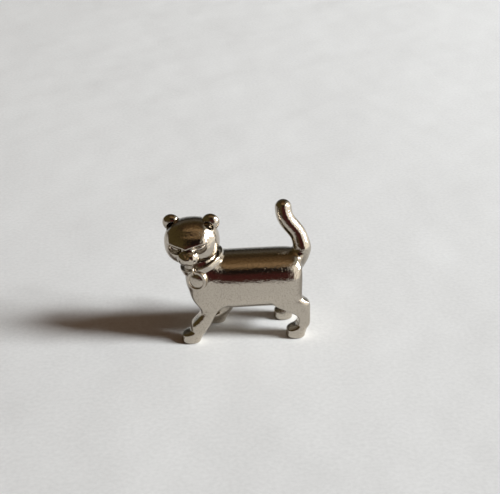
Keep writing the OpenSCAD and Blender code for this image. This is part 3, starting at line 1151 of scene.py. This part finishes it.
@dataclass
class Head:
    """Skull with its brow, muzzle and ears melted into one skin, and two eyes set in it.

    Places are given as (forward, left, up) from the middle of the head, in millimetres.

    Attributes:
        cell: Length of a mesh edge.
        wide: Width across the cheeks.
        high: Height from chin to crown.
        deep: Depth from the face to the back of the skull.
        turn: Turn of the face towards the left flank, in degrees.
        skull_turn: Turn of the skull behind it.
        tilt: Tilt of the crown to the right, in degrees.
        gap: Distance of the chin above the middle of the collar.
        square: Squareness of level sections.
        dome: Squareness of upright sections.
        brow: Share of the half depth of the forehead, along the height.
        brow_lift: Rise of the brow line from the middle of the face to its ends.
        brow_bend: Distance over which the brow line rises.
        brow_edge: Rounding of the edge of the brow.
        brow_half: Half width over which the brow stands out.
        brow_fade: Distance over which it fades at the temples.
        face: Share of the half depth of the face under the brow, along the height.
        socket_at: Middle of the left eye socket.
        socket: Half sizes of the eye socket.
        eye_at: Middle of the left eye.
        eye: Half sizes of the eye.
        eye_slant: Rise of the eye to its outer corner, in degrees.
        eye_swing: Turn of the eye round the face, in degrees.
        snout_at: Middle of the snout.
        snout: Half sizes of the snout.
        pad_at: Middle of the left whisker pad.
        pad: Half sizes of the whisker pad.
        pad_swing: Turn of the whisker pad outwards, in degrees.
        dot_at: Place of the dimple on the left whisker pad.
        dot_r: Half width of the dimple.
        nose_at: Middle of the nose.
        nose: Half sizes of the nose.
        bridge: Upper and lower end of the bridge of the nose.
        bridge_r: Half thickness of the bridge at its ends.
        chin_at: Middle of the chin.
        chin: Half sizes of the chin.
        ear_at: Middle of the left ear.
        ear: Half sizes of the ear.
        cup_at: Middle of the hollow from the middle of the ear.
        cup: Half sizes of the hollow.
        pad_run: Fillet between the whisker pads.
        snout_run: Fillet between the whisker pads and the snout.
        chin_run: Fillet of the chin.
        bridge_run: Fillet between the nose and its bridge.
        nose_run: Fillet of the nose on the snout.
        dot_run: Rounding of the edge of a dimple.
        socket_run: Rounding of the edge of an eye socket.
        brow_run: Fillet under the brow.
        muzzle_run: Fillet between muzzle and skull.
        ear_run: Fillet of the ears.
        cup_run: Rounding of the edge of the hollows.
    """

    cell: float = 0.1
    wide: float = 9.6
    high: float = 8.1
    deep: float = 8.2
    turn: float = 73.0
    skull_turn: float = 80.0
    tilt: float = 6.0
    gap: float = 0.2
    square: float = 2.3
    dome: float = 2.3
    brow: Sequence[Row] = (
        (-0.5, 1.3),
        (-0.0617, 1.1545),
        (0.0, 1.123),
        (0.0617, 1.0875),
        (0.1235, 1.0487),
        (0.185, 1.0073),
        (0.247, 0.9618),
        (0.309, 0.9075),
        (0.37, 0.836),
        (0.432, 0.74),
        (0.5, 0.6),
    )
    brow_lift: float = 0.8
    brow_bend: float = 1.3
    brow_edge: float = 0.45
    brow_half: float = 3.0
    brow_fade: float = 1.0
    face: Sequence[Row] = ((-0.5, 0.9), (-0.3, 0.94), (-0.12, 0.96), (0.0, 0.93), (0.12, 0.9), (0.5, 0.9))
    socket_at: Row = (3.65, 2.2, 0.0)
    socket: Row = (0.95, 1.4, 0.85)
    eye_at: Row = (2.85, 2.3, 0.1)
    eye: Row = (0.4, 0.85, 0.38)
    eye_slant: float = 10.0
    eye_swing: float = 28.0
    snout_at: Row = (3.2, 0.0, -1.5)
    snout: Row = (1.35, 1.85, 1.2)
    pad_at: Row = (3.95, 0.85, -1.75)
    pad: Row = (0.65, 1.0, 0.95)
    pad_swing: float = 42.0
    dot_at: Row = (4.4, 1.3, -1.85)
    dot_r: float = 0.17
    nose_at: Row = (4.55, 0.0, -1.55)
    nose: Row = (0.5, 0.62, 0.42)
    bridge: tuple[Row, Row] = ((3.2, 0.0, -0.3), (3.85, 0.0, -1.85))
    bridge_r: tuple[float, float] = (0.55, 0.95)
    chin_at: Row = (3.0, 0.0, -2.75)
    chin: Row = (0.75, 1.15, 0.55)
    ear_at: Row = (-0.82, 3.5, 3.12)
    ear: Row = (1.05, 1.56, 1.5)
    cup_at: Row = (1.1, -0.5, -0.55)
    cup: Row = (1.0, 1.15, 0.95)
    pad_run: float = 0.15
    snout_run: float = 0.5
    chin_run: float = 0.25
    bridge_run: float = 0.4
    nose_run: float = 0.3
    dot_run: float = 0.1
    socket_run: float = 0.15
    brow_run: float = 0.12
    muzzle_run: float = 0.3
    ear_run: float = 0.25
    cup_run: float = 0.16

    def axes(self, yaw: float) -> Array:
        """Give the forward, left and up directions at a turn of the head, one in each column."""
        return turn(2, yaw) @ turn(0, -self.tilt) @ np.diag([-1.0, -1.0, 1.0])

    def build(self, collar_at: Array, neck_line: Array, finish: Finish) -> None:
        """Melt the members of the head, share the skin out and set the eyes.

        Args:
            collar_at: Middle of the collar.
            neck_line: Direction of the neck.
            finish: Material of the pieces.
        """
        axes, skull_axes = self.axes(self.turn), self.axes(self.skull_turn)
        middle = collar_at + (self.high / 2 + self.gap) * neck_line

        def place(at: Row, mirror: int = 1) -> Array:
            """Give a place of the head in the frame, on the left for 1 and on the right for -1."""
            return middle + axes @ (np.array(at) * (1, mirror, 1))

        def swung(swing: float, slant: float, mirror: int) -> Array:
            """Give the axes of a feature that is swung outwards and slanted up."""
            return axes @ turn(2, swing * mirror) @ turn(0, slant * mirror)

        forehead = Skull(middle, skull_axes, self.size, Profile(self.brow, 0.12), self.square, self.dome)
        face = Skull(middle, skull_axes, self.size, Profile(self.face, 0.12), self.square, self.dome)
        bridge = Bar(place(self.bridge[0]), place(self.bridge[1]), self.bridge_r)
        nose = Bead(place(self.nose_at), self.nose, axes, 2.3)
        chin = Bead(place(self.chin_at), self.chin, axes)
        lump = Bead(place(self.snout_at), self.snout, axes, 2.3)
        pads = [Bead(place(self.pad_at, m), self.pad, swung(self.pad_swing, 0, m)) for m in (1, -1)]
        dots = [Bead(place(self.dot_at, m), (self.dot_r,) * 3) for m in (1, -1)]
        lids = {m: swung(self.eye_swing, self.eye_slant, m) for m in (1, -1)}
        sockets = [Bead(place(self.socket_at, m), self.socket, lid) for m, lid in lids.items()]
        ears, cups = {}, []
        for node, m in (("left_ear", 1), ("right_ear", -1)):
            ears[node] = Bead(place(self.ear_at, m), self.ear, axes)
            hollow = place(self.ear_at, m) + axes @ (np.array(self.cup_at) * (1, m, 1))
            cups.append(Bead(hollow, self.cup, axes))

        def snout(p: Array) -> Array:
            """Measure points from the muzzle.

            Args:
                p: Points, in millimetres.

            Returns:
                Distance of each point in millimetres, below zero inside.
            """
            whole = melt(pads[0].distance(p), pads[1].distance(p), self.pad_run)
            whole = melt(whole, lump.distance(p), self.snout_run)
            whole = melt(whole, chin.distance(p), self.chin_run)
            beak = melt(nose.distance(p), bridge.distance(p), self.bridge_run)
            whole = melt(whole, beak, self.nose_run)
            for dot in dots:
                whole = carve(whole, dot.distance(p), self.dot_run)
            return whole

        def skull(p: Array) -> Array:
            """Measure points from the skull with its brow and eye sockets.

            Args:
                p: Points, in millimetres.

            Returns:
                Distance of each point in millimetres, below zero inside.
            """
            q = (p - middle) @ axes
            line = self.brow_lift * (1 - np.exp(-np.hypot(q[:, 1], 0.15) / self.brow_bend))
            fade = 0.6 * np.clip((np.abs(q[:, 1]) - self.brow_half) / self.brow_fade, 0, 1) ** 2
            over = -melt(-forehead.distance(p) - fade, q[:, 2] - line, self.brow_edge)
            below = face.distance(p)
            for socket in sockets:
                below = carve(below, socket.distance(p), self.socket_run)
            return melt(over, below, self.brow_run)

        def melted(p: Array) -> Array:
            """Measure points from the melted head.

            Args:
                p: Points, in millimetres.

            Returns:
                Distance of each point in millimetres, below zero inside.
            """
            whole = melt(skull(p), snout(p), self.muzzle_run)
            for ear in ears.values():
                whole = melt(whole, ear.distance(p), self.ear_run)
            for cup in cups:
                whole = carve(whole, cup.distance(p), self.cup_run)
            return whole

        members = {"head": Melted(skull), "muzzle": Melted(snout), **ears}
        reach = np.linalg.norm(self.size) + 1
        skin = Sculptor(self.cell).cast(melted, middle - reach, middle + reach)
        share_out(skin, members, finish)
        for node, m in (("left_eye", 1), ("right_eye", -1)):
            eye = Bead(place(self.eye_at, m), self.eye, lids[m])
            ball = Sculptor(self.cell / 2).cast(eye.distance, eye.low, eye.high)
            add_piece(f"cast_{node}", node, ball.points, ball.quads, ball.normals, ball.recess, finish)

    @property
    def size(self) -> Array:
        """Half depth, half width and half height."""
        return np.array([self.deep, self.wide, self.high]) / 2


@dataclass
class Skull(Form):
    """Egg-shaped head form with its own front profile.

    Attributes:
        middle: Middle of the head, in millimetres.
        axes: Forward, left and up directions, one in each column.
        half: Half depth, half width and half height.
        front: Share of the half depth in front, along the share of the height.
        square: Squareness of level sections.
        dome: Squareness of upright sections.
    """

    middle: Array
    axes: Array
    half: Array
    front: Profile
    square: float
    dome: float

    def __post_init__(self) -> None:
        """Find the box of the head."""
        reach = np.abs(self.axes) @ (1.2 * self.half)
        self.low, self.high = self.middle - reach, self.middle + reach

    def measure(self, p: Array) -> Array:
        """Measure points from the head.

        Args:
            p: Points, in millimetres.

        Returns:
            How far each point is outside, as a share of the size, below zero inside.
        """
        share = (p - self.middle) @ self.axes / self.half
        (front,) = self.front.at(share[:, 2] / 2)
        level = (np.abs(share[:, 0]) / np.where(share[:, 0] > 0, front, 1)) ** self.square
        level = (level + np.abs(share[:, 1]) ** self.square) ** (self.dome / self.square)
        return (level + np.abs(share[:, 2]) ** self.dome) ** (1 / self.dome) - 1


@dataclass
class Melted(Form):
    """Member that is itself melted from several forms.

    Attributes:
        rule: Function that gives distances.
    """

    rule: Rule

    def measure(self, p: Array) -> Array:
        """Give the distance of each point from the member."""
        return self.rule(p)

    def distance(self, p: Array) -> Array:
        """Give the distance of each point from the member."""
        return self.rule(p)


@dataclass
class Collar:
    """Band round the neck, with a link and a round tag.

    Attributes:
        neck_r: Half thickness of the neck, in millimetres.
        lean: Forward lean of the band, in degrees.
        thick: Thickness of the band.
        high: Height of the band.
        sunk: Depth of the band in the neck.
        round: Rounding of the outer edges of the band.
        crisp: Rounding of edges that don't show.
        tag_r: Half width of the tag.
        tag_place: Place of the tag round the collar, in degrees.
        tag_turn: Turn of the face of the tag, in degrees.
        tag_lean: Downward lean of the face of the tag, in degrees, upward if negative.
        tag_drop: Distance of the top of the tag below the middle of the collar.
        tag_proud: Distance that the tag stands out from the collar.
        tag_depth: Depth of the tag behind the outer side of the collar.
        rim: Width of the raised rim of the tag.
        rim_h: Height of the rim above the face.
        rim_round: Rounding of the outer edge, the inner edge and the foot of the rim.
        bevel: Slope of the inner side of the rim.
        dome: Height of the domed face at its shoulder.
        dome_share: Share of the tag's half width at which the shoulder lies.
        dome_round: Rounding of the shoulder.
        dome_peak: Height of the middle of the face, as a share of the shoulder's.
        hub: Half width of the pinprick that is left on the axis of the tag.
        link_r: Half width of the link at the middle of its wire.
        wire_r: Half thickness of the wire.
        link_drop: Distance of the middle of the link below the middle of the collar.
        steps: Number of steps round the band.
        link_steps: Number of steps round the link.
        wire_steps: Number of steps round its wire.
    """

    neck_r: float
    lean: float
    thick: float = 0.5
    high: float = 1.1
    sunk: float = 0.4
    round: float = 0.16
    crisp: float = 0.05
    tag_r: float = 1.8
    tag_place: float = 72.0
    tag_turn: float = 64.0
    tag_lean: float = -4.0
    tag_drop: float = 0.15
    tag_proud: float = 0.35
    tag_depth: float = 1.6
    rim: float = 0.4
    rim_h: float = 0.2
    rim_round: Row = (0.14, 0.1, 0.08)
    bevel: float = 0.12
    dome: float = 0.22
    dome_share: float = 0.45
    dome_round: float = 0.4
    dome_peak: float = 1.4
    hub: float = 0.02
    link_r: float = 0.55
    wire_r: float = 0.2
    link_drop: float = 0.25
    steps: int = 144
    link_steps: int = 48
    wire_steps: int = 16

    @staticmethod
    def lathe(outline: Array, axes: Array, middle: Array, steps: int) -> tuple[Array, list[list[int]]]:
        """Turn a closed outline about an axis.

        Args:
            outline: Distance from the axis and height of each point.
            axes: Axes of the turned piece, one in each column, the last along the axis.
            middle: Place of the outline's zero.
            steps: Number of steps round the axis.

        Returns:
            Points and faces.
        """
        angle = np.arange(steps) * 2 * math.pi / steps
        ring = np.stack([np.cos(angle), np.sin(angle), 0 * angle], axis=1)
        local = ring[:, None] * outline[None, :, :1] + np.array([0, 0, 1]) * outline[None, :, 1:]
        n = len(outline)
        faces = [
            [i * n + j, (i + 1) % steps * n + j, (i + 1) % steps * n + (j + 1) % n, i * n + (j + 1) % n]
            for i in range(steps)
            for j in range(n)
        ]
        return middle + local.reshape(-1, 3) @ axes.T, faces

    @staticmethod
    def rounded(corners: Sequence[tuple[float, float, float]], steps: int = 5) -> Array:
        """Round the corners of a closed outline.

        Args:
            corners: Two coordinates and the rounding of each corner.
            steps: Points on each rounding.

        Returns:
            Points of the outline.
        """
        at = np.array([c[:2] for c in corners])
        points = []
        for i, (_, _, run) in enumerate(corners):
            before, after = at[i - 1] - at[i], at[(i + 1) % len(at)] - at[i]
            a, b = (run * d / np.linalg.norm(d) for d in (before, after))
            for t in np.linspace(0, 1, steps):
                points.append(at[i] + a * (1 - t) ** 2 + b * t**2)
        return np.array(points)

    def build(self, at: Array, finish: Finish) -> None:
        """Make the band, the tag and the link.

        Args:
            at: Middle of the collar.
            finish: Material of the pieces.
        """
        inner, outer, half = self.neck_r - self.sunk, self.neck_r + self.thick, self.high / 2
        sides = ((inner, -half, self.crisp), (outer, -half, self.round))
        band = self.rounded([*sides, (outer, half, self.round), (inner, half, self.crisp)], 6)
        points, faces = self.lathe(band, turn(1, -self.lean), at, self.steps)
        add_piece("collar_band", "collar", points, faces, None, None, finish)

        place = math.radians(self.tag_place)
        out = np.array([-math.cos(place), -math.sin(place), 0]) * outer
        tag_at = at + out + np.array([0, 0, -self.tag_r - self.tag_drop])
        axes = turn(2, 180 + self.tag_turn) @ turn(1, 90 + self.tag_lean)
        face, top, edge = self.tag_proud - self.rim_h, self.tag_proud, self.tag_r - self.rim
        plate = self.rounded(
            [
                (self.hub, -self.tag_depth, self.hub / 2),
                (self.tag_r, -self.tag_depth, self.crisp),
                (self.tag_r, top, self.rim_round[0]),
                (edge, top, self.rim_round[1]),
                (edge - self.bevel, face, self.rim_round[2]),
                (self.dome_share * self.tag_r, face + self.dome, self.dome_round),
                (self.hub, face + self.dome_peak * self.dome, self.hub / 2),
            ]
        )
        points, faces = self.lathe(plate, axes, tag_at, self.steps // 2)
        add_piece("collar_tag", "tag", points, faces, None, None, finish)

        aim = math.radians(self.tag_turn)
        link_at = at + np.array([-math.cos(aim) * outer, -math.sin(aim) * outer, -self.link_drop])
        angle = np.arange(self.wire_steps) * 2 * math.pi / self.wire_steps
        wire = np.stack([self.link_r + self.wire_r * np.cos(angle), self.wire_r * np.sin(angle)], axis=1)
        points, faces = self.lathe(wire, turn(2, self.tag_turn) @ turn(0, 90), link_at, self.link_steps)
        add_piece("collar_link", "tag_link", points, faces, None, None, finish)


@dataclass(frozen=True)
class Card:
    """Soft-edged patch of the room round the paper.

    Attributes:
        azimuth: Direction of its middle, in degrees from the camera's side (-Y) towards the window (+X).
        elevation: Height of its middle, in degrees.
        half: Half width and half height, in degrees.
        soft: Widths of its soft edges at the sides and at top and bottom, in degrees.
        colour: Its colour.
        level: Strength of its light.
        spill: Share of its light that reaches matt surfaces.
    """

    azimuth: float
    elevation: float
    half: tuple[float, float]
    soft: tuple[float, float]
    colour: str
    level: float = 1.0
    spill: float = 1.0

    def mask(self, tree: Tree, way: Socket, rise: Socket) -> Socket:
        """Add the nodes that tell how far a direction meets the card.

        Args:
            tree: Node tree of the world.
            way: Socket of the direction.
            rise: Socket of the height of the direction, in radians.

        Returns:
            Socket that is 1 on the card and 0 beside it.
        """
        a = math.radians(self.azimuth)
        flat = []
        for line in ((math.cos(a), math.sin(a), 0), (math.sin(a), -math.cos(a), 0)):
            dot = add_node(tree, "ShaderNodeVectorMath", {"operation": "DOT_PRODUCT"}, in_0=way, in_1=line)
            flat.append(dot.outputs["Value"])
        swing = add_node(tree, "ShaderNodeMath", {"operation": "ARCTAN2"}, in_0=flat[0], in_1=flat[1])
        level = math.radians(self.elevation)
        lift = add_node(tree, "ShaderNodeMath", {"operation": "SUBTRACT"}, in_0=rise, in_1=level)
        parts = []
        for off, half, soft in zip((swing, lift), self.half, self.soft):
            size = add_node(tree, "ShaderNodeMath", {"operation": "ABSOLUTE"}, in_0=off.outputs[0])
            fade = add_node(
                tree, "ShaderNodeMapRange", {"interpolation_type": "SMOOTHSTEP"}, Value=size.outputs[0],
                From_Min=math.radians(half - soft / 2), From_Max=math.radians(half + soft / 2),
                To_Min=1.0, To_Max=0.0,
            )
            parts.append(fade.outputs["Result"])
        both = add_node(tree, "ShaderNodeMath", {"operation": "MULTIPLY"}, in_0=parts[0], in_1=parts[1])
        return both.outputs[0]

    def light(self, tree: Tree, matt: Socket) -> Socket:
        """Add the node that gives the light of the card.

        Args:
            tree: Node tree of the world.
            matt: Socket that is 1 for light that goes to a matt surface.

        Returns:
            Socket of the colour times the strength.
        """
        full = [c * self.level for c in srgb(self.colour)[:3]]
        less = [c * self.spill for c in full]
        mix = add_node(
            tree, "ShaderNodeMix", {"data_type": "RGBA"}, in_0=matt, in_6=(*full, 1.0), in_7=(*less, 1.0)
        )
        return mix.outputs[2]


@dataclass(frozen=True)
class Pane:
    """Soft lamp that stands for one pane of the window.

    Attributes:
        azimuth: Direction of the pane from the cat, in degrees from +X towards the camera.
        elevation: Height of the pane, in degrees.
        swing: Turn of its face from the cat towards the back of the paper, in degrees.
        distance: Distance of the pane, in millimetres.
        size: Width and height of the pane, in millimetres.
        power: Power of its light, in watts.
        tint: Colour of its light.
    """

    azimuth: float
    elevation: float
    size: tuple[float, float]
    power: float
    swing: float = 52.0
    distance: float = 1600.0
    tint: str = "F4F8FA"

    def hang(self, name: str) -> None:
        """Hang the lamp.

        Args:
            name: Name of the lamp.
        """
        a, e = math.radians(self.azimuth), math.radians(self.elevation)
        aim = np.array([math.cos(a) * math.cos(e), -math.sin(a) * math.cos(e), math.sin(e)])
        data = bpy.data.lights.new(name, "AREA")
        data.shape = "RECTANGLE"
        data.size, data.size_y = (s * MM for s in self.size)
        data.energy = self.power
        data.color = srgb(self.tint)[:3]
        lamp = bpy.data.objects.new(name, data)
        bpy.context.scene.collection.objects.link(lamp)
        across = np.cross((0.0, 0.0, 1.0), aim)
        across /= np.linalg.norm(across)
        turned = np.eye(4)
        turned[:3, :3] = turn(2, -self.swing) @ np.stack([across, np.cross(aim, across), aim], axis=1)
        turned[:3, 3] = aim * self.distance * MM
        lamp.matrix_world = Matrix(turned.tolist())


@dataclass(frozen=True)
class Studio:
    """Paper, window light, dim warm room and camera.

    Attributes:
        target: Point that the view is measured from, in millimetres.
        azimuth: Direction of the camera, in degrees.
        elevation: Height of the camera, in degrees.
        distance: Distance of the camera from the target, in millimetres.
        scale: Pixels in a millimetre at the target.
        target_px: Place of the target in the picture, in pixels.
        sensor: Width of the camera's sensor, in millimetres.
        clip: Nearest and farthest distance that the camera draws, in metres.
        panes: Panes of the window at the right, by name.
        floor_half: Half width of the paper, in millimetres.
        floor_front: Distance of its front edge from the cat, from where the flank mirrors the dark room.
        walls: Colours of the walls and ceiling by height, from the table up.
        cards: Patches of the room that differ from its walls.
        spill: Colour that dims the room's light on matt surfaces, because its far corners are brown.
        backdrop: Colour that the camera sees behind the paper.
    """

    target: Row = (0.0, 0.0, 11.0)
    azimuth: float = -5.0
    elevation: float = 28.0
    distance: float = 200.0
    scale: float = 5.68
    target_px: tuple[float, float] = (238.0, 274.0)
    sensor: float = 36.0
    clip: tuple[float, float] = (0.01, 20.0)
    panes: Sequence[tuple[str, Pane]] = (
        ("upper_pane", Pane(11.0, 37.0, (640.0, 210.0), 29.5)),
        ("lower_pane", Pane(11.0, 21.0, (640.0, 160.0), 26.5)),
    )
    floor_half: float = 1500.0
    floor_front: float = 85.0
    walls: Sequence[tuple[float, str]] = (
        (-2.0, "53443F"),
        (8.0, "564B30"),
        (40.0, "51462A"),
        (60.0, "3F3222"),
        (80.0, "644F36"),
        (86.0, "7A6242"),
    )
    cards: Sequence[Card] = (
        Card(180.0, -4.0, (40.0, 16.0), (20.0, 6.0), "A0A7AD"),
        Card(180.0, 22.0, (40.0, 8.0), (20.0, 6.0), "2E2A24"),
        Card(180.0, 36.0, (40.0, 7.0), (20.0, 10.0), "5F5A52"),
        Card(-2.0, 15.0, (26.0, 14.0), (16.0, 12.0), "4D2826"),
        Card(-2.0, 40.0, (30.0, 13.0), (16.0, 10.0), "221B18"),
        Card(0.0, 66.0, (60.0, 11.0), (50.0, 10.0), "9C8261"),
        Card(88.0, 50.0, (40.0, 8.0), (30.0, 14.0), "CFCDC2"),
        Card(98.0, 14.0, (30.0, 26.0), (14.0, 10.0), "FFFBF2", 1.6, 0.1),
        Card(50.0, 18.0, (24.0, 32.0), (12.0, 8.0), "FFFBF2", 1.6, 0.1),
    )
    spill: str = "B89B86"
    backdrop: str = "DADAD9"

    def add_camera(self) -> None:
        """Set up the camera at the angle of the picture."""
        a, e = math.radians(self.azimuth), math.radians(self.elevation)
        back = np.array([math.sin(a) * math.cos(e), -math.cos(a) * math.cos(e), math.sin(e)])
        right = np.array([math.cos(a), math.sin(a), 0.0])
        up = np.cross(back, right)
        eye = np.array(self.target) + self.distance * back
        aside, above = PICTURE[0] / 2 - self.target_px[0], self.target_px[1] - PICTURE[1] / 2
        aim = np.array(self.target) + (right * aside + up * above) / self.scale
        away = (eye - aim) / np.linalg.norm(eye - aim)
        across = np.cross((0.0, 0.0, 1.0), away)
        across /= np.linalg.norm(across)
        data = bpy.data.cameras.new("camera")
        data.sensor_width = self.sensor
        data.lens = self.sensor * self.scale * self.distance / PICTURE[0]
        data.clip_start, data.clip_end = self.clip
        camera = bpy.data.objects.new("camera", data)
        bpy.context.scene.collection.objects.link(camera)
        turned = np.eye(4)
        turned[:3, 0], turned[:3, 1], turned[:3, 2] = across, np.cross(away, across), away
        turned[:3, 3] = eye * MM
        camera.matrix_world = Matrix(turned.tolist())
        bpy.context.scene.camera = camera

    def add_room(self) -> None:
        """Surround the paper with a dim warm room that the metal mirrors."""
        world = bpy.data.worlds.new("room")
        bpy.context.scene.world = world
        world.use_nodes = True
        tree = world.node_tree
        ray = add_node(tree, "ShaderNodeLightPath")
        way = add_node(tree, "ShaderNodeTexCoord").outputs["Generated"]
        height = add_node(tree, "ShaderNodeSeparateXYZ", Vector=way).outputs["Z"]
        rise = add_node(tree, "ShaderNodeMath", {"operation": "ARCSINE"}, in_0=height).outputs[0]
        share = add_node(tree, "ShaderNodeMapRange", Value=rise, From_Min=-math.pi / 2, From_Max=math.pi / 2)
        stops = [((90 + degrees) / 180, srgb(code)) for degrees, code in self.walls]
        room = add_ramp(tree, share.outputs["Result"], stops).outputs["Color"]
        for card in self.cards:
            mask = card.mask(tree, way, rise)
            light = card.light(tree, ray.outputs["Is Diffuse Ray"])
            mix = add_node(tree, "ShaderNodeMix", {"data_type": "RGBA"}, in_0=mask, in_6=room, in_7=light)
            room = mix.outputs[2]
        dim = add_node(
            tree, "ShaderNodeMix", {"data_type": "RGBA", "blend_type": "MULTIPLY"},
            in_0=ray.outputs["Is Diffuse Ray"], in_6=room, in_7=srgb(self.spill),
        )
        inside = add_node(tree, "ShaderNodeBackground", Color=dim.outputs[2], Strength=1.0)
        behind = add_node(tree, "ShaderNodeBackground", Color=srgb(self.backdrop), Strength=1.0)
        both = add_node(
            tree, "ShaderNodeMixShader",
            in_0=ray.outputs["Is Camera Ray"], in_1=inside.outputs[0], in_2=behind.outputs[0],
        )
        tree.links.new(both.outputs[0], tree.nodes["World Output"].inputs["Surface"])

    def add_paper(self) -> None:
        """Lay the sheet of paper that the cat stands on."""
        mesh = bpy.data.meshes.new("paper")
        h, near = self.floor_half * MM, self.floor_front * MM
        mesh.from_pydata([(-h, -near, 0), (h, -near, 0), (h, h, 0), (-h, h, 0)], [], [(0, 1, 2, 3)])
        mesh.materials.append(WritingPaper().material())
        paper = bpy.data.objects.new("paper", mesh)
        bpy.context.scene.collection.objects.link(paper)

    def build(self) -> None:
        """Set up the whole studio."""
        self.add_camera()
        for name, pane in self.panes:
            pane.hang(name)
        self.add_room()
        self.add_paper()
        bpy.context.scene.view_settings.view_transform = "Standard"


def main() -> None:
    """Build the token and its surroundings."""
    logging.basicConfig(level=logging.INFO, format="%(name)s %(message)s")
    Studio().build()
    nickel = NickelPlate().material()
    trunk = Trunk()
    trunk.build(nickel)
    Head().build(trunk.collar_at, trunk.neck_line, nickel)
    Collar(neck_r=trunk.neck_r, lean=trunk.neck_lean).build(trunk.collar_at, nickel)


if __name__ == "__main__":
    main()
